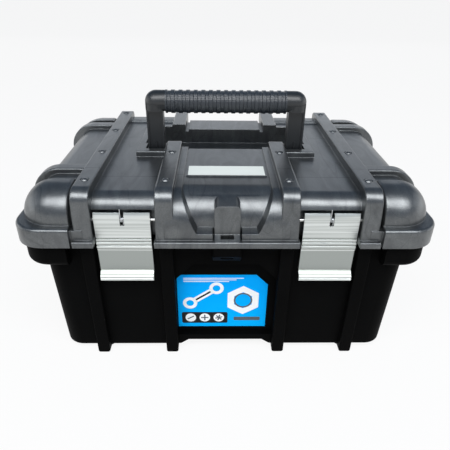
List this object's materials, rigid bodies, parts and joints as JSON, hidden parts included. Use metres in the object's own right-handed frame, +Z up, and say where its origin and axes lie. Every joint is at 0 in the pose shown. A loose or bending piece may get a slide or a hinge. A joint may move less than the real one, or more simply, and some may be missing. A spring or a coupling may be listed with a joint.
{
  "type": "tool box",
  "caption": "Moulded tool box with a ribbed hinged lid, bumpers at the corners, metal spring latches, a folding carry handle and a lift-out tray.",
  "frame": {"origin": "on the ground under the middle of the box", "axes": "+X to the right along the length, the front with the latches faces -Y, +Z up"},
  "size_m": [0.4202, 0.2962, 0.2698],
  "materials": {
    "base_plastic": "black moulded polypropylene, satin",
    "lid_plastic": "metallic silver-grey moulded plastic with flow marks",
    "label_print": "glossy printed film, plain blue design",
    "plate_metal": "bright blank plate",
    "latch_aluminium": "satin anodised extrusion",
    "pin_steel": "bright drawn steel",
    "spring_steel": "zinc-plated spring wire",
    "handle_plastic": "black moulded plastic",
    "grip_rubber": "dark slate ribbed soft grip",
    "tray_plastic": "grey moulded plastic"
  },
  "bodies": {
    "base": {"base_shell": "base_plastic", "front_label": "label_print", "left_hinge_pin": "pin_steel", "right_hinge_pin": "pin_steel"},
    "lid": {"lid_shell": "lid_plastic", "nameplate": "plate_metal", "left_latch_pin": "pin_steel", "right_latch_pin": "pin_steel", "left_latch_spring": "spring_steel", "right_latch_spring": "spring_steel", "left_handle_pin": "pin_steel", "right_handle_pin": "pin_steel"},
    "left_latch": {"left_latch_plate": "latch_aluminium"},
    "right_latch": {"right_latch_plate": "latch_aluminium"},
    "handle": {"handle_bar": "handle_plastic", "handle_grip": "grip_rubber"},
    "lift_out_tray": {"tray": "tray_plastic"}
  },
  "joints": [
    {"name": "lid_hinge", "type": "hinge", "parent": "base", "child": "lid", "pos_m": [0, 0.14363, 0.152], "axis": [-1, 0, 0], "range_deg": [0, 105]},
    {"name": "left_latch_swing", "type": "hinge", "parent": "lid", "child": "left_latch", "pos_m": [-0.1022, -0.13277, 0.176], "axis": [-1, 0, 0], "range_deg": [0, 75], "stiffness_Nm_per_rad": 0.08, "springref_deg": -20.05},
    {"name": "right_latch_swing", "type": "hinge", "parent": "lid", "child": "right_latch", "pos_m": [0.1022, -0.13277, 0.176], "axis": [-1, 0, 0], "range_deg": [0, 75], "stiffness_Nm_per_rad": 0.08, "springref_deg": -20.05},
    {"name": "handle_fold", "type": "hinge", "parent": "lid", "child": "handle", "pos_m": [0, 0, 0.1975], "axis": [-1, 0, 0], "range_deg": [0, 90]},
    {"name": "tray_lift", "type": "slide", "parent": "base", "child": "lift_out_tray", "axis": [0, 0, 1], "range_m": [0, 0.015]}
  ]
}
